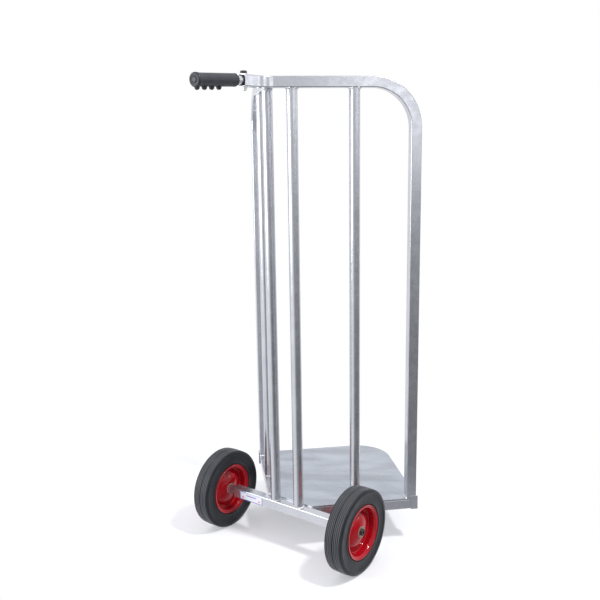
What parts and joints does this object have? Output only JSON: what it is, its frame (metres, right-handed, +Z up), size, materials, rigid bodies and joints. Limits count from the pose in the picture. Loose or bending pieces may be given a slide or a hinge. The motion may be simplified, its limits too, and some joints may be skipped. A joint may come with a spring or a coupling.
{
  "type": "hand truck",
  "caption": "Corner hand truck with a V-shaped tube back, a flat load plate, a rear hand grip and solid rubber wheels on red pressed rims.",
  "frame": {"origin": "on the floor under the middle of the truck's overall width and depth", "axes": "+X to the truck's right along the axle, +Y from the handle towards the load, +Z up; 1 unit is 1 metre"},
  "size_m": [0.5092, 0.67, 1.1275],
  "materials": {
    "silver_paint": "satin silver-grey enamel over steel tube",
    "bright_steel": "bright zinc plated steel",
    "red_paint": "gloss red enamel over pressed steel",
    "tyre_rubber": "moulded black rubber with a dull sheen",
    "black_grip": "semi-gloss black moulded plastic",
    "black_plastic": "black moulded plastic",
    "bush_plastic": "natural nylon",
    "dark_steel": "black oxide steel",
    "label_film": "printed plastic film"
  },
  "bodies": {
    "frame": {"axle_crossbar": "silver_paint", "axle_spacer_left": "silver_paint", "axle_spacer_right": "silver_paint", "base_rail_left": "silver_paint", "base_rail_right": "silver_paint", "corner_gusset_left": "silver_paint", "corner_gusset_right": "silver_paint", "front_leg": "silver_paint", "front_leg_foot": "black_plastic", "handle_bolt": "dark_steel", "handle_grip": "black_grip", "handle_nut": "bright_steel", "handle_tube": "bright_steel", "handle_washers": "bright_steel", "hoop_left": "silver_paint", "hoop_right": "silver_paint", "inner_upright_left": "silver_paint", "inner_upright_right": "silver_paint", "label": "label_film", "middle_upright_left": "silver_paint", "middle_upright_right": "silver_paint", "neck_bush": "black_plastic", "stub_axle_left": "bright_steel", "stub_axle_right": "bright_steel", "toe_plate": "silver_paint", "wheel_screws": "bright_steel", "wheel_washers": "bright_steel"},
    "wheel_left": {"tyre_left": "tyre_rubber", "rim_outer_left": "red_paint", "rim_inner_left": "red_paint", "hub_tube_left": "bright_steel", "hub_bushes_left": "bush_plastic"},
    "wheel_right": {"tyre_right": "tyre_rubber", "rim_outer_right": "red_paint", "rim_inner_right": "red_paint", "hub_tube_right": "bright_steel", "hub_bushes_right": "bush_plastic"}
  },
  "joints": [
    {"name": "wheel_left_spin", "type": "hinge", "parent": "frame", "child": "wheel_left", "pos_m": [-0.2, -0.0806, 0.1], "axis": [1, 0, 0], "continuous": true},
    {"name": "wheel_right_spin", "type": "hinge", "parent": "frame", "child": "wheel_right", "pos_m": [0.2, -0.0806, 0.1], "axis": [1, 0, 0], "continuous": true}
  ]
}
